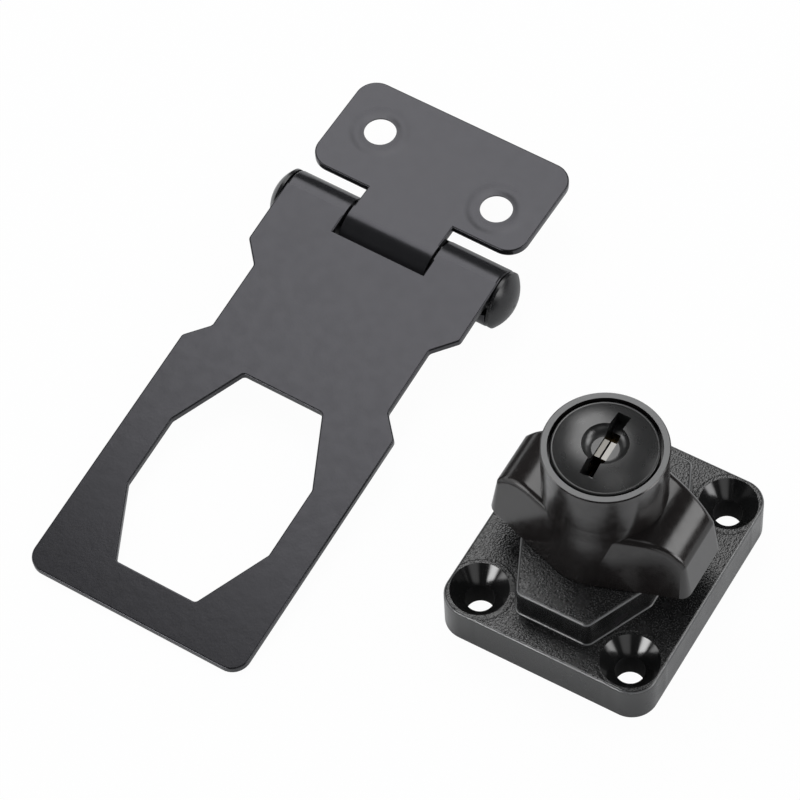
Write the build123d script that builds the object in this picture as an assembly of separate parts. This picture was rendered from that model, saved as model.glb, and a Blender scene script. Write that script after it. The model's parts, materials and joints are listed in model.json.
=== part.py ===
from build123d import *
import os
from math import acos, asin, atan2, cos, degrees, hypot, radians, sin, sqrt, tan

# Keyed hasp lock for drawers and small doors, in millimetres.
# One half is the cast lock body with its turn-knob, the other is the hinged sheet hasp that lies beside it.
# Origin: middle of the base's underside. +Z points away from the mounting face, +Y towards the hasp's leaf.

# How far a cut runs past the face that it opens, and how far joined shapes run into each other
OVERRUN = 1.0
LAP = 0.2

# Base casting
BASE_WIDTH = 36.0
BASE_LENGTH = 42.0
BASE_THICKNESS = 7.4
BASE_CORNER = 4.2
BASE_EDGE = 0.5
SCREW_INSET_X = 5.05
SCREW_INSET_Y = 5.25
SCREW_HOLE_DIAMETER = 4.6
SCREW_SINK_DIAMETER = 9.2
SCREW_SINK_DEPTH = 2.8
SCREW_PAD_RADIUS = 6.0
CORE_WALL = 2.0
CORE_DEPTH = 4.4
CORE_CORNER = 0.8
HUB_WALL = 1.8

# Eight-sided boss on the base, which stands in the strap's window
BOSS_HEIGHT = 5.7
BOSS_HALF_WIDTH = 11.1
BOSS_HALF_LENGTH = 16.6
BOSS_END_HALF_WIDTH = 6.1
BOSS_SIDE_HALF_LENGTH = 5.9
BOSS_CORNER = 1.3
BOSS_EDGE = 0.45
BOSS_FOOT = 0.4
WINDOW_GAP = 1.9

# Turn-knob: a round barrel on a two-winged foot
KNOB_RADIUS = 9.65
KNOB_TAPER = 0.1
FLARE_RADIUS = 70.0
KNOB_RIM_WALL = 1.05
KNOB_RIM_EDGE = 0.2
KNOB_LIFT = 0.25
BARREL_RISE = 11.0
FOOT_STEP = 1.05
FOOT_DRAFT = 8.0
FOOT_SKIN = 0.02
WING_RISE = 11.15
WING_HALF_LENGTH = 17.0
WING_END_HALF_WIDTH = 6.0
WING_CORNER = 1.8
WING_SHOULDER = 8.0
WING_EDGE = 1.1
WING_CORE_WALL = 1.75
WING_CORE_START = 0.35
WING_CORE_HALF_WIDTH = 3.6
WING_CORE_DEPTH = 6.0
WING_CORE_CORNER = 1.0
STOP_HALF_ANGLE = 14.0
STOP_STEP = 1.5
STOP_HEIGHT = 1.2
STOP_PLAY = 1.0
KNOB_TURN = 90.0

# Knob spindle in the base, and the stack that holds it from below
SPINDLE_RADIUS = 8.4
RUNNING_GAP = 0.06
SPINDLE_END = 0.35
SPINDLE_LEAD = 0.4
RING_START = 0.9
RING_THICKNESS = 0.7
RING_GROOVE_DEPTH = 0.8
RING_STEP = 1.8
RING_MOUTH = 50.0
DISC_THICKNESS = 0.35
DISC_RISE = 0.42
WASHER_THICKNESS = 0.48
STACK_GAP = 0.05
WELL_STEP = 4.2

# Key plug
PLUG_RADIUS = 6.0
PLUG_GAP = 0.05
HEAD_SINK = 3.2
HEAD_GAP = 0.4
HEAD_EDGE_DROP = 0.2
HEAD_EDGE = 0.4
DOME_RISE = 1.0
DISH_RADIUS = 3.55
DISH_FLOOR_RADIUS = 2.1
DISH_DEPTH = 1.5
FACE_SLOT_LENGTH = 12.0
FACE_SLOT_DEPTH = 3.5
KEYWAY_WIDTH = 2.15
KEYWAY_LENGTH = 8.4
KEYWAY_OVERRUN = 1.6
WARD_LENGTH = 3.3
WARD_SLIT = 0.3
WARD_DROP = 1.8
WARD_HEIGHT = 2.6

# Wafers, their springs and the plug's retainer
WAFER_COUNT = 5
WAFER_PITCH = 2.2
WAFER_START = 1.7
WAFER_THICKNESS = 1.05
WAFER_WIDTH = 5.6
WAFER_SLOT_GAP = 0.075
WAFER_END_GAP = 0.05
WAFER_TRAVEL = 0.8
WAFER_WINDOW_WIDTH = 2.5
WAFER_WINDOW_LENGTH = 7.2
WAFER_GROOVE_DEPTH = 1.0
WAFER_GROOVE_END = 0.3
EAR_WIDTH = 1.55
EAR_LENGTH = 0.8
EAR_START = 1.25
SPRING_RADIUS = 0.5
SPRING_WIRE = 0.18
SPRING_LENGTH = 4.0
SPRING_TURNS = 2.75
SPRING_PLAY = 0.1
RETAINER_WIDTH = 5.0
RETAINER_DROP = 2.9
RETAINER_STAND = 0.7
RETAINER_BACK = -1.8
RETAINER_GAP = 0.2
RETAINER_WALL = 0.6

# Drive tail and lock bolt
PLUG_TAIL = 2.9
TAIL_SLOT_WIDTH = 2.2
TAIL_SLOT_LENGTH = 8.0
TAIL_SLOT_DEPTH = 1.5
TAIL_GAP = 0.1
TAIL_RADIUS = 3.0
TAIL_DISC_MARGIN = 1.6
TAIL_DISC_THICKNESS = 1.3
CRANK_THROW = 1.9
CRANK_PIN_RADIUS = 1.1
CRANK_PIN_GAP = 0.15
KEY_TURN = 90.0
SPINDLE_FLOOR = 1.1
BOLT_THICKNESS = 2.4
BOLT_WIDTH = 8.0
BOLT_BACK_WALL = 2.9
BOLT_GAP = 0.1

# Hasp sheet, pin and outline, measured from the pin's axis: across is X, along is Y
SHEET = 1.2
SHEET_EDGE = 0.25
KNUCKLE_EDGE = 0.45
PIN_RADIUS = 3.66
PIN_GAP = 0.05
PIN_HEAD_DROP = 0.06
PIN_COLLAR = 0.5
PIN_DOME = 1.95
PIN_HEAD_GAP = 0.2
CURL_ANGLE = 290.0
KNUCKLE_GAP = 0.55
NOTCH_GAP = 0.694
STRAP_LENGTH = 76.97
STRAP_HALF_WIDTH = 19.75
STRAP_CORNER = 3.0
NECK_HALF_WIDTH = 16.4
NECK_START = -31.5
NECK_FULL = -27.8
NECK_BACK = -15.4
SHOULDER_BACK = -11.6
STEP_CORNER = 1.0
WINDOW_MARGIN = 7.17
WINDOW_CORNER = 0.8
LEAF_GAP = 0.39
LEAF_DEPTH = 19.05
LEAF_CORNER = 3.6
TAB_HALF_WIDTH = 7.95
LEAF_HOLE_DIAMETER = 5.3
LEAF_HOLE_SINK = 7.4
LEAF_HOLE_LAND = 0.25
LEAF_HOLE_X = 12.1
LEAF_HOLE_LEFT_Y = 15.6
LEAF_HOLE_RIGHT_Y = 11.85

# Where the hasp lies beside the lock body
HASP_X = -56.92
HASP_Y = 34.08
HASP_TURN = -1.6

# Heights and radii of the lock body, worked out from the values above
SCREW_SPACING_X = BASE_WIDTH - 2 * SCREW_INSET_X
SCREW_SPACING_Y = BASE_LENGTH - 2 * SCREW_INSET_Y
BOSS_TOP = BASE_THICKNESS + BOSS_HEIGHT
KNOB_FOOT = BOSS_TOP + KNOB_LIFT
WING_TOP = KNOB_FOOT + WING_RISE
KNOB_TOP = WING_TOP + BARREL_RISE
FOOT_RADIUS = KNOB_RADIUS + FOOT_STEP
STOP_RADIUS = SPINDLE_RADIUS + STOP_STEP
BORE_RADIUS = SPINDLE_RADIUS + RUNNING_GAP
RING_GROOVE_RADIUS = SPINDLE_RADIUS - RING_GROOVE_DEPTH
RING_RADIUS = SPINDLE_RADIUS + RING_STEP
DISC_START = RING_START + RING_THICKNESS + STACK_GAP
WASHER_START = DISC_START + DISC_RISE + DISC_THICKNESS + STACK_GAP
WELL_DEPTH = WASHER_START + WASHER_THICKNESS + STACK_GAP
WELL_RADIUS = SPINDLE_RADIUS + WELL_STEP
PLUG_BORE_RADIUS = PLUG_RADIUS + PLUG_GAP
HEAD_SEAT = KNOB_TOP - HEAD_SINK
HEAD_BORE_RADIUS = KNOB_RADIUS - KNOB_RIM_WALL
HEAD_RADIUS = HEAD_BORE_RADIUS - HEAD_GAP
DOME_HEIGHT = KNOB_TOP + DOME_RISE
FACE_SLOT_FLOOR = DOME_HEIGHT - FACE_SLOT_DEPTH
WAFER_SLOT = WAFER_THICKNESS + 2 * WAFER_SLOT_GAP
WAFER_END_RADIUS = PLUG_RADIUS - WAFER_END_GAP
LAST_WAFER = HEAD_SEAT - WAFER_START - (WAFER_COUNT - 1) * WAFER_PITCH
RETAINER_HEIGHT = LAST_WAFER - RETAINER_DROP
RETAINER_REACH = PLUG_RADIUS + RETAINER_STAND
RETAINER_SPRING_LENGTH = PLUG_RADIUS + RETAINER_BACK - RETAINER_WALL - SPRING_PLAY
PLUG_END = RETAINER_HEIGHT - PLUG_TAIL

# Bolt and crank, worked out from the values above
BOLT_FLOOR = WELL_DEPTH + SPINDLE_FLOOR
BOLT_TOP = BOLT_FLOOR + BOLT_THICKNESS + 2 * BOLT_GAP
BOLT_NOSE = SPINDLE_RADIUS - BOLT_GAP
BOLT_BACK = BOLT_BACK_WALL - SPINDLE_RADIUS
BOLT_TRAVEL = 2 * CRANK_THROW * sin(radians(KEY_TURN / 2))
CRANK_START = -KEY_TURN / 2
TAIL_DISC_RADIUS = CRANK_THROW + CRANK_PIN_RADIUS + TAIL_DISC_MARGIN

# Hasp, worked out from the values above
SHEET_UNDER = PIN_RADIUS + PIN_GAP
HASP_RADIUS = SHEET_UNDER + SHEET
PIN_HEAD_RADIUS = HASP_RADIUS - PIN_HEAD_DROP
NOTCH_EDGE = -sqrt((HASP_RADIUS + NOTCH_GAP) ** 2 - SHEET_UNDER ** 2)
NOTCH_HALF_WIDTH = TAB_HALF_WIDTH + KNUCKLE_GAP
WINDOW_CENTRE = WINDOW_MARGIN + BOSS_HALF_LENGTH + WINDOW_GAP - STRAP_LENGTH
LEAF_NEAR = HASP_RADIUS + LEAF_GAP
LEAF_FAR = LEAF_NEAR + LEAF_DEPTH
REST_REACH = hypot(STRAP_LENGTH, SHEET_UNDER)
STRAP_TILT = degrees(asin(HASP_RADIUS / REST_REACH) + atan2(SHEET_UNDER, STRAP_LENGTH))


def wafer_height(index):
    """Middle height of wafer number index, counted from the key's side."""
    return HEAD_SEAT - WAFER_START - index * WAFER_PITCH


def octagon(half_width, half_length, end_half_width, side_half_length):
    """Long eight-sided outline, long axis along Y, centred."""
    corners = [
        (end_half_width, half_length),
        (half_width, side_half_length),
        (half_width, -side_half_length),
        (end_half_width, -half_length),
        (-end_half_width, -half_length),
        (-half_width, -side_half_length),
        (-half_width, side_half_length),
        (-end_half_width, half_length),
    ]
    return make_face(Polyline(*corners, close=True))


def boss_outline():
    """Outline of the boss, sharp-cornered."""
    return octagon(BOSS_HALF_WIDTH, BOSS_HALF_LENGTH, BOSS_END_HALF_WIDTH, BOSS_SIDE_HALF_LENGTH)


def window_outline():
    """Outline of the strap's window: the boss's outline moved out by the fitting gap."""
    outline = offset(boss_outline(), WINDOW_GAP, kind=Kind.INTERSECTION)
    return fillet(outline.vertices(), WINDOW_CORNER)


def edges_at(solid, height):
    """Edges of a solid that lie flat at one height."""
    return solid.edges().filter_by(lambda e: abs(e.bounding_box().min.Z - height) < 1e-4
                                   and abs(e.bounding_box().max.Z - height) < 1e-4)


def ring_sector(inner, outer, start, end, low, high):
    """Solid sector of a ring between two angles and two heights."""
    profile = Plane.XZ * Pos((inner + outer) / 2, (low + high) / 2) * Rectangle(outer - inner, high - low)
    return Rot(0, 0, start) * revolve(profile, Axis.Z, end - start)


def sink_angle():
    """Full angle of the screw countersinks."""
    half = (SCREW_SINK_DIAMETER - SCREW_HOLE_DIAMETER) / 2
    return 2 * degrees(atan2(half, SCREW_SINK_DEPTH))


def bolt_pocket(turn):
    """Blind pocket in the base that the bolt's nose enters, at one knob position."""
    reach = BOLT_NOSE + BOLT_TRAVEL + 2 * BOLT_GAP
    width = BOLT_WIDTH + 4 * BOLT_GAP
    height = BOLT_THICKNESS + 4 * BOLT_GAP
    middle = BOLT_FLOOR + BOLT_GAP + BOLT_THICKNESS / 2
    box = Pos(0, reach / 2, middle) * Box(width, reach, height)
    return Rot(0, 0, turn) * box


def end_core(side):
    """Cored recess in the underside at one end of the base, between two screw pads and the well's wall."""
    reach = BASE_LENGTH / 2 - CORE_WALL
    outline = Pos(0, side * reach / 2) * Rectangle(SCREW_SPACING_X, reach)
    outline -= Circle(WELL_RADIUS + HUB_WALL)
    for x in (-SCREW_SPACING_X / 2, SCREW_SPACING_X / 2):
        outline -= Pos(x, side * SCREW_SPACING_Y / 2) * Circle(SCREW_PAD_RADIUS)
    outline = outline.faces().sort_by(Axis.Y)[-1 if side > 0 else 0]
    outline = fillet(outline.vertices(), CORE_CORNER)
    return extrude(outline, CORE_DEPTH, dir=(0, 0, 1))


def stop_groove():
    """Curved groove in the boss's top that the knob's stop lug runs in, a quarter turn long."""
    play = STOP_HALF_ANGLE + STOP_PLAY
    floor = KNOB_FOOT - STOP_HEIGHT - 2 * BOLT_GAP
    return ring_sector(SPINDLE_RADIUS, STOP_RADIUS + 2 * BOLT_GAP, -90 - play, KNOB_TURN - 90 + play,
                       floor, BOSS_TOP + OVERRUN)


def base_plate():
    """Cast base: plate, boss, screw holes, spindle bore, bolt pockets, stop groove and hollows below."""
    plate = extrude(fillet(Rectangle(BASE_WIDTH, BASE_LENGTH).vertices(), BASE_CORNER), BASE_THICKNESS)
    plate = fillet(edges_at(plate, BASE_THICKNESS), BASE_EDGE)
    boss = extrude(fillet(boss_outline().vertices(), BOSS_CORNER), BOSS_TOP)
    boss = fillet(edges_at(boss, BOSS_TOP), BOSS_EDGE)
    body = plate + boss
    foot = [e for e in edges_at(body, BASE_THICKNESS)
            if abs(e.center().Y) < BOSS_HALF_LENGTH + LAP and abs(e.center().X) < BOSS_HALF_WIDTH + LAP]
    body = fillet(foot, BOSS_FOOT)
    hole = SCREW_HOLE_DIAMETER / 2
    sink = CounterSinkHole(hole, SCREW_SINK_DIAMETER / 2, BASE_THICKNESS + OVERRUN, sink_angle())
    for spot in GridLocations(SCREW_SPACING_X, SCREW_SPACING_Y, 2, 2):
        body -= spot * Pos(0, 0, BASE_THICKNESS) * sink
    body -= end_core(1)
    body -= end_core(-1)
    body -= ring_sector(0, BORE_RADIUS, 0, 360, -OVERRUN, BOSS_TOP + OVERRUN)
    body -= ring_sector(0, WELL_RADIUS, 0, 360, -OVERRUN, WELL_DEPTH)
    body -= bolt_pocket(0)
    body -= bolt_pocket(KNOB_TURN)
    return body - stop_groove()


def wing_profile():
    """Side view of the winged foot, in X and Z: upright ends that roll over into the top."""
    half = WING_HALF_LENGTH
    knee = WING_TOP - WING_SHOULDER
    flat = half - WING_SHOULDER
    outline = [
        Line((-half, KNOB_FOOT), (half, KNOB_FOOT)),
        Line((half, KNOB_FOOT), (half, knee)),
        CenterArc((flat, knee), WING_SHOULDER, 0, 90),
        Line((flat, WING_TOP), (-flat, WING_TOP)),
        CenterArc((-flat, knee), WING_SHOULDER, 90, 90),
        Line((-half, knee), (-half, KNOB_FOOT)),
    ]
    return Plane.XZ * make_face(outline)


def foot_outline():
    """Outline of the knob's foot: a round middle, tangent lines, and two wings with rounded corners."""
    x = WING_HALF_LENGTH - WING_CORNER
    y = WING_END_HALF_WIDTH - WING_CORNER
    turn = atan2(y, x) + acos((FOOT_RADIUS - WING_CORNER) / hypot(x, y))
    middle = (FOOT_RADIUS * cos(turn), FOOT_RADIUS * sin(turn))
    corner = (x + WING_CORNER * cos(turn), y + WING_CORNER * sin(turn))
    round_middle = (x + WING_CORNER * cos(turn / 2), y + WING_CORNER * sin(turn / 2))
    edges = []
    for side in (1, -1):
        edges.append(Line((side * WING_HALF_LENGTH, -y), (side * WING_HALF_LENGTH, y)))
        ends = [(-middle[0], side * middle[1]), (0, side * FOOT_RADIUS), (middle[0], side * middle[1])]
        edges.append(ThreePointArc(*ends))
        for up in (1, -1):
            start = (side * WING_HALF_LENGTH, up * y)
            through = (side * round_middle[0], up * round_middle[1])
            stop = (side * corner[0], up * corner[1])
            edges.append(ThreePointArc(start, through, stop))
            edges.append(Line(stop, (side * middle[0], up * middle[1])))
    return make_face(edges)


def winged_foot():
    """Drafted foot of the knob with its two wings, the shoulders rounded."""
    height = WING_TOP - KNOB_FOOT + OVERRUN
    block = extrude(foot_outline(), height, taper=FOOT_DRAFT, dir=(0, 0, 1))
    foot = Pos(0, 0, KNOB_FOOT) * block & extrude(wing_profile(), FOOT_RADIUS + OVERRUN, both=True)
    shoulders = [e for e in foot.edges() if e.bounding_box().min.Z > KNOB_FOOT + 1
                 and (abs(e.center().Y) > 0.01 or abs(e.center().X) > WING_HALF_LENGTH - 5)]
    return fillet(shoulders, WING_EDGE)


def wing_core(side):
    """Cored recess in the underside of one wing."""
    inner = FOOT_RADIUS + WING_CORE_START
    outer = WING_HALF_LENGTH - WING_CORE_WALL
    outline = fillet(Rectangle(outer - inner, 2 * WING_CORE_HALF_WIDTH).vertices(), WING_CORE_CORNER)
    return Pos(side * (inner + outer) / 2, 0, KNOB_FOOT) * extrude(outline, WING_CORE_DEPTH)


def knob_barrel():
    """Round barrel that flares into its drafted foot, with its flat rim and the spindle below it."""
    corner = (KNOB_RADIUS - KNOB_RIM_EDGE, KNOB_TOP - KNOB_RIM_EDGE)
    lead = SPINDLE_RADIUS - SPINDLE_LEAD
    slope = tan(radians(FOOT_DRAFT))
    waist = KNOB_RADIUS - KNOB_TAPER
    foot = FOOT_RADIUS + FOOT_SKIN
    flare = waist + FLARE_RADIUS * (1 - cos(radians(FOOT_DRAFT)))
    flare_low = KNOB_FOOT + (foot - flare) / slope
    flare_knee = flare_low + (flare - waist) / slope
    flare_high = flare_low + FLARE_RADIUS * sin(radians(FOOT_DRAFT))
    outline = [
        Line((0, SPINDLE_END), (lead, SPINDLE_END)),
        Line((lead, SPINDLE_END), (SPINDLE_RADIUS, SPINDLE_END + SPINDLE_LEAD)),
        Line((SPINDLE_RADIUS, SPINDLE_END + SPINDLE_LEAD), (SPINDLE_RADIUS, KNOB_FOOT)),
        Line((SPINDLE_RADIUS, KNOB_FOOT), (foot, KNOB_FOOT)),
        Line((foot, KNOB_FOOT), (flare, flare_low)),
        Bezier((flare, flare_low), (waist, flare_knee), (waist, flare_high)),
        Line((waist, flare_high), (KNOB_RADIUS, corner[1])),
        Line((KNOB_RADIUS, corner[1]), (corner[0], KNOB_TOP)),
        Line((corner[0], KNOB_TOP), (0, KNOB_TOP)),
        Line((0, KNOB_TOP), (0, SPINDLE_END)),
    ]
    return revolve(Plane.XZ * make_face(outline), Axis.Z)


def wafer_grooves():
    """Crossed grooves in the knob that the wafers stand out into."""
    low = LAST_WAFER - WAFER_SLOT / 2 - WAFER_GROOVE_END
    high = wafer_height(0) + WAFER_SLOT / 2 + WAFER_GROOVE_END
    width = WAFER_WIDTH + 4 * WAFER_SLOT_GAP
    groove = Box(width, 2 * (PLUG_BORE_RADIUS + WAFER_GROOVE_DEPTH), high - low)
    return Pos(0, 0, (low + high) / 2) * (groove + Rot(0, 0, 90) * groove)


def turn_knob():
    """Cast knob: barrel, cored wings, spindle, stop lug, plug bore, grooves and the bolt's channel."""
    body = knob_barrel() + winged_foot()
    body += ring_sector(SPINDLE_RADIUS - LAP, STOP_RADIUS, -90 - STOP_HALF_ANGLE, -90 + STOP_HALF_ANGLE,
                        KNOB_FOOT - STOP_HEIGHT, KNOB_FOOT + LAP)
    body -= wing_core(1)
    body -= wing_core(-1)
    body -= ring_sector(0, PLUG_BORE_RADIUS, 0, 360, BOLT_TOP, KNOB_TOP + OVERRUN)
    body -= ring_sector(0, HEAD_BORE_RADIUS, 0, 360, HEAD_SEAT, KNOB_TOP + OVERRUN)
    body -= wafer_grooves()
    half_groove = WAFER_SLOT / 2 + RETAINER_GAP
    body -= ring_sector(0, RETAINER_REACH + RETAINER_GAP, 0, 360, RETAINER_HEIGHT - half_groove,
                        RETAINER_HEIGHT + half_groove)
    channel_back = BOLT_BACK - 2 * BOLT_GAP
    channel_front = SPINDLE_RADIUS + OVERRUN
    channel = Box(BOLT_WIDTH + 2 * BOLT_GAP, channel_front - channel_back, BOLT_TOP - BOLT_FLOOR)
    body -= Pos(0, (channel_front + channel_back) / 2, (BOLT_TOP + BOLT_FLOOR) / 2) * channel
    groove_low = RING_START - STACK_GAP
    body -= ring_sector(RING_GROOVE_RADIUS, SPINDLE_RADIUS + OVERRUN, 0, 360, groove_low, DISC_START)
    return body


def key_plug():
    """Turning plug: domed head with a dished middle, keyway, wafer slots, spring pockets and tail slot."""
    rim = HEAD_RADIUS - HEAD_EDGE
    seat = HEAD_SEAT + STACK_GAP
    edge = KNOB_TOP - HEAD_EDGE_DROP
    floor = DOME_HEIGHT - DISH_DEPTH
    dome_middle = ((rim + DISH_RADIUS) / 2 + 0.05, (edge + DOME_HEIGHT) / 2 + 0.15)
    dish_middle = ((DISH_RADIUS + DISH_FLOOR_RADIUS) / 2 + 0.2, DOME_HEIGHT - DISH_DEPTH / 2 - 0.2)
    outline = [
        Line((0, PLUG_END), (PLUG_RADIUS, PLUG_END)),
        Line((PLUG_RADIUS, PLUG_END), (PLUG_RADIUS, seat)),
        Line((PLUG_RADIUS, seat), (HEAD_RADIUS, seat)),
        Line((HEAD_RADIUS, seat), (HEAD_RADIUS, edge - HEAD_EDGE)),
        Bezier((HEAD_RADIUS, edge - HEAD_EDGE), (HEAD_RADIUS, edge), (rim, edge)),
        ThreePointArc((rim, edge), dome_middle, (DISH_RADIUS, DOME_HEIGHT)),
        ThreePointArc((DISH_RADIUS, DOME_HEIGHT), dish_middle, (DISH_FLOOR_RADIUS, floor)),
        Line((DISH_FLOOR_RADIUS, floor), (0, floor)),
        Line((0, floor), (0, PLUG_END)),
    ]
    body = revolve(Plane.XZ * make_face(outline), Axis.Z)
    face_slot = Box(KEYWAY_WIDTH, FACE_SLOT_LENGTH, DOME_HEIGHT - FACE_SLOT_FLOOR)
    body -= Pos(0, 0, (DOME_HEIGHT + FACE_SLOT_FLOOR) / 2) * face_slot
    keyway_end = LAST_WAFER - KEYWAY_OVERRUN
    keyway = Box(KEYWAY_WIDTH, KEYWAY_LENGTH, FACE_SLOT_FLOOR + LAP - keyway_end)
    body -= Pos(0, 0, (FACE_SLOT_FLOOR + LAP + keyway_end) / 2) * keyway
    ward_width = (KEYWAY_WIDTH - WARD_SLIT) / 2
    ward = Box(ward_width + LAP, WARD_LENGTH, WARD_HEIGHT)
    ward_height = DOME_HEIGHT - WARD_DROP - WARD_HEIGHT / 2
    for side in (-1, 1):
        body += Pos(side * (WARD_SLIT + ward_width + LAP) / 2, 0, ward_height) * ward
    for index in range(WAFER_COUNT):
        body -= Pos(0, 0, wafer_height(index)) * Rot(0, 0, 180 * (index % 2)) * wafer_pocket()
    body -= retainer_pocket()
    tail_slot = Box(TAIL_SLOT_LENGTH, TAIL_SLOT_WIDTH, TAIL_SLOT_DEPTH)
    body -= Pos(0, 0, PLUG_END + TAIL_SLOT_DEPTH / 2) * tail_slot
    return body


def wafer_pocket():
    """Space in the plug for one wafer, its ear and its spring."""
    slot = Box(WAFER_WIDTH + 2 * WAFER_SLOT_GAP, 2 * (PLUG_RADIUS + OVERRUN), WAFER_SLOT)
    ear_side = WAFER_WIDTH / 2 + EAR_WIDTH + WAFER_SLOT_GAP
    ear_end = EAR_START + EAR_LENGTH + WAFER_TRAVEL + SPRING_PLAY
    back = EAR_START - SPRING_LENGTH - SPRING_PLAY
    pocket = Pos(ear_side / 2, (ear_end + back) / 2, 0) * Box(ear_side, ear_end - back, WAFER_SLOT)
    return slot + pocket


def wafer(index):
    """Stamped wafer, drawn in level with the plug: round ends, a window for the key, a spring ear."""
    plate = Circle(WAFER_END_RADIUS) & Rectangle(WAFER_WIDTH, 2 * PLUG_RADIUS)
    ear_x = (WAFER_WIDTH + EAR_WIDTH - LAP) / 2
    plate += Pos(ear_x, EAR_START + EAR_LENGTH / 2) * Rectangle(EAR_WIDTH + LAP, EAR_LENGTH)
    plate -= Rectangle(WAFER_WINDOW_WIDTH, WAFER_WINDOW_LENGTH)
    solid = extrude(plate, WAFER_THICKNESS / 2, both=True)
    return Pos(0, 0, wafer_height(index)) * Rot(0, 0, 180 * (index % 2)) * solid


def coil_spring(length, radius, wire, turns):
    """Small coil spring along Y, from the origin, its wire three-sided to keep it light."""
    pitch = (length - wire) / turns
    path = Helix(pitch, length - wire, radius - wire / 2, center=(0, wire / 2, 0), direction=(0, 1, 0))
    section = Plane(path @ 0, z_dir=path % 0) * RegularPolygon(wire / 2, 3)
    return sweep(section, path, is_frenet=True)


def wafer_spring(index):
    """Coil spring that pushes one wafer outwards."""
    x = (WAFER_WIDTH + EAR_WIDTH + SPRING_PLAY) / 2
    spring = coil_spring(SPRING_LENGTH - SPRING_PLAY / 2, SPRING_RADIUS, SPRING_WIRE, SPRING_TURNS)
    spring = Pos(x, EAR_START - SPRING_LENGTH - SPRING_PLAY / 2, 0) * spring
    return Pos(0, 0, wafer_height(index)) * Rot(0, 0, 180 * (index % 2)) * spring


def retainer_pocket():
    """Space in the plug for the retaining plate and its spring."""
    back = RETAINER_BACK - RETAINER_SPRING_LENGTH - SPRING_PLAY
    length = PLUG_RADIUS + OVERRUN - back
    slot = Box(RETAINER_WIDTH + 2 * WAFER_SLOT_GAP, length, WAFER_SLOT)
    return Pos(0, back + length / 2, RETAINER_HEIGHT) * slot


def plug_retainer():
    """Plate that stands out of the plug into the knob's ring groove and keeps the plug in."""
    middle = (RETAINER_REACH + RETAINER_BACK) / 2
    bar = Pos(0, middle) * Rectangle(RETAINER_WIDTH, RETAINER_REACH - RETAINER_BACK)
    plate = Circle(RETAINER_REACH) & bar
    return Pos(0, 0, RETAINER_HEIGHT) * extrude(plate, WAFER_THICKNESS / 2, both=True)


def retainer_spring():
    """Coil spring behind the retaining plate."""
    spring = coil_spring(RETAINER_SPRING_LENGTH, SPRING_RADIUS, SPRING_WIRE, SPRING_TURNS)
    return Pos(0, RETAINER_BACK - RETAINER_SPRING_LENGTH - SPRING_PLAY / 2, RETAINER_HEIGHT) * spring


def drive_tail():
    """Tail that the plug turns: tongue, shaft, disc and the crank pin that moves the bolt."""
    tongue_low = PLUG_END - STACK_GAP
    tongue_height = TAIL_SLOT_DEPTH - STACK_GAP
    tongue = Box(TAIL_SLOT_LENGTH - 2 * TAIL_GAP, TAIL_SLOT_WIDTH - 2 * TAIL_GAP, tongue_height)
    body = Pos(0, 0, tongue_low + tongue_height / 2) * tongue
    disc_low = BOLT_TOP + 2 * BOLT_GAP
    disc_top = disc_low + TAIL_DISC_THICKNESS
    body += ring_sector(0, TAIL_RADIUS, 0, 360, disc_top, tongue_low)
    body += ring_sector(0, TAIL_DISC_RADIUS, 0, 360, tongue_low - TAIL_DISC_THICKNESS, tongue_low)
    body += ring_sector(0, TAIL_DISC_RADIUS, 0, 360, disc_low, disc_top)
    pin = ring_sector(0, CRANK_PIN_RADIUS, 0, 360, BOLT_FLOOR + 2 * BOLT_GAP, disc_low + LAP)
    return body + Rot(0, 0, CRANK_START) * Pos(CRANK_THROW, 0, 0) * pin


def lock_bolt():
    """Sliding bolt, drawn in level with the spindle: a rounded nose and a cross slot for the crank pin."""
    bar = Pos(0, (BOLT_BACK + BOLT_NOSE) / 2) * Rectangle(BOLT_WIDTH, BOLT_NOSE - BOLT_BACK)
    plate = Circle(BOLT_NOSE) & bar
    start = CRANK_THROW * cos(radians(CRANK_START))
    slot_height = 2 * (CRANK_PIN_RADIUS + CRANK_PIN_GAP)
    slot_length = CRANK_THROW - start + slot_height
    slot_y = CRANK_THROW * sin(radians(CRANK_START))
    plate -= Pos((start + CRANK_THROW) / 2, slot_y) * SlotOverall(slot_length, slot_height)
    return Pos(0, 0, BOLT_FLOOR + BOLT_GAP) * extrude(plate, BOLT_THICKNESS)


def thrust_washer():
    """Flat washer under the base's floor."""
    return ring_sector(BORE_RADIUS + STACK_GAP, WELL_RADIUS - HEAD_GAP, 0, 360, WASHER_START,
                       WASHER_START + WASHER_THICKNESS)


def disc_spring():
    """Conical spring washer that keeps the knob drawn down firmly."""
    inner = BORE_RADIUS + 2 * STACK_GAP
    outer = WELL_RADIUS - 2 * HEAD_GAP
    outline = Polyline(
        (inner, DISC_START),
        (outer, DISC_START + DISC_RISE),
        (outer, DISC_START + DISC_RISE + DISC_THICKNESS),
        (inner, DISC_START + DISC_THICKNESS),
        close=True,
    )
    return revolve(make_face(Plane.XZ * outline), Axis.Z)


def spindle_ring():
    """Open retaining ring in the spindle's groove."""
    start = 90 + RING_MOUTH / 2
    inner = RING_GROOVE_RADIUS + STACK_GAP
    top = RING_START + RING_THICKNESS
    return ring_sector(inner, RING_RADIUS, start, start + 360 - RING_MOUTH, RING_START, top)


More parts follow.
